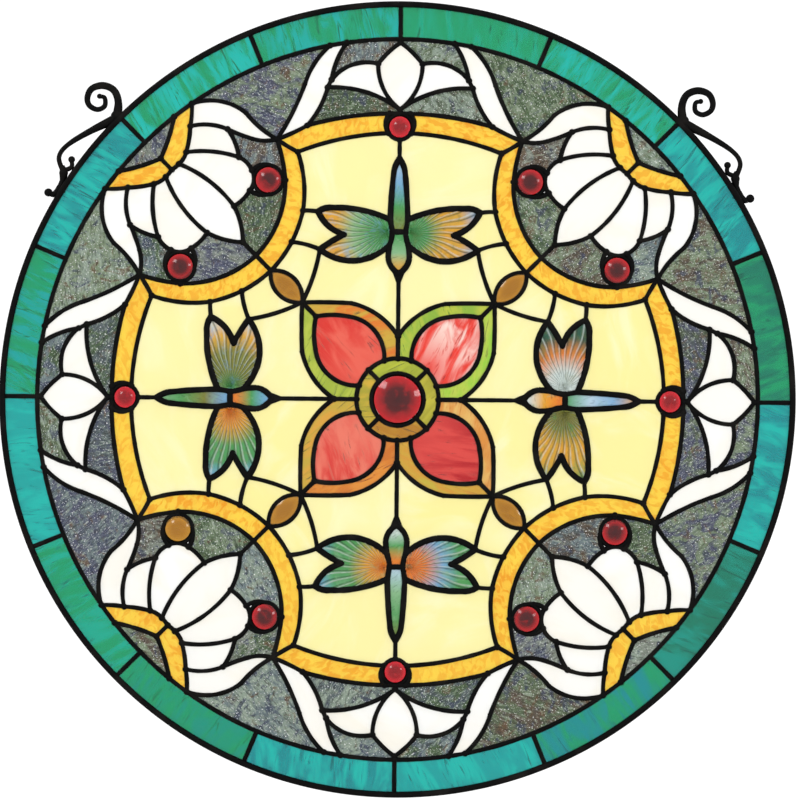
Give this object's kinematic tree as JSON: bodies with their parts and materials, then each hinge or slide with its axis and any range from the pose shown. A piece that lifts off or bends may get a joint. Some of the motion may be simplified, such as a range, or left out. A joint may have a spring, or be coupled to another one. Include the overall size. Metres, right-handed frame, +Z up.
{
  "type": "stained glass window panel",
  "caption": "Round stained glass hanging panel with dragonflies, lilies and a central flower in leaded coloured glass, with a teal rim and two scroll hooks.",
  "frame": {"origin": "midway between the two scroll eyes that take the hanging chains, in the middle of the frame's depth", "axes": "+Z up, -Y the front that the viewer sees, +X to the right seen from the front"},
  "size_m": [0.61, 0.0123, 0.61],
  "materials": {
    "lead": "near-black patina",
    "teal_glass": "streaky cathedral glass",
    "ground_glass": "rippled textured glass",
    "lime_glass": "streaky glass",
    "amber_glass": "mottled glass",
    "honey_glass": "pressed glass",
    "ruby_glass": "polished cast glass",
    "white_glass": "opalescent glass",
    "cream_glass": "opalescent glass",
    "cast_glass": "veined cast glass",
    "red_glass": "streaky glass"
  },
  "bodies": {
    "root": {"amber_border_bottom_left": "amber_glass", "amber_border_bottom_right": "amber_glass", "amber_border_top_left": "amber_glass", "amber_border_top_right": "amber_glass", "centre_jewel": "ruby_glass", "corner_ground_bottom_left": "ground_glass", "corner_ground_bottom_right": "ground_glass", "corner_ground_top_left": "ground_glass", "corner_ground_top_right": "ground_glass", "corner_jewel_bottom_left_a": "ruby_glass", "corner_jewel_bottom_left_b": "amber_glass", "corner_jewel_bottom_right_a": "ruby_glass", "corner_jewel_bottom_right_b": "ruby_glass", "corner_jewel_top_left_a": "ruby_glass", "corner_jewel_top_left_b": "ruby_glass", "corner_jewel_top_right_a": "ruby_glass", "corner_jewel_top_right_b": "ruby_glass", "cream_field_bottom": "cream_glass", "cream_field_left": "cream_glass", "cream_field_right": "cream_glass", "cream_field_top": "cream_glass", "dragonfly_bottom": "cast_glass", "dragonfly_left": "cast_glass", "dragonfly_right": "cast_glass", "dragonfly_top": "cast_glass", "fan_bottom": "white_glass", "fan_ground_bottom": "ground_glass", "fan_ground_left": "ground_glass", "fan_ground_right": "ground_glass", "fan_ground_top": "ground_glass", "fan_left": "white_glass", "fan_right": "white_glass", "fan_top": "white_glass", "flower_surround": "lime_glass", "frame_ring": "lead", "hanger_left": "lead", "hanger_right": "lead", "lead_lattice": "lead", "lily_base_bottom_left": "amber_glass", "lily_base_bottom_right": "amber_glass", "lily_base_top_left": "amber_glass", "lily_base_top_right": "amber_glass", "lily_bottom_left": "white_glass", "lily_bottom_right": "white_glass", "lily_top_left": "white_glass", "lily_top_right": "white_glass", "oval_jewel_bottom_left": "honey_glass", "oval_jewel_bottom_right": "honey_glass", "oval_jewel_top_left": "honey_glass", "oval_jewel_top_right": "honey_glass", "red_petal_bottom_left": "red_glass", "red_petal_bottom_right": "red_glass", "red_petal_top_left": "red_glass", "red_petal_top_right": "red_glass", "rim_glass": "teal_glass", "rim_ground": "ground_glass", "side_jewel_bottom": "ruby_glass", "side_jewel_left": "ruby_glass", "side_jewel_right": "ruby_glass", "side_jewel_top": "ruby_glass"}
  },
  "joints": []
}
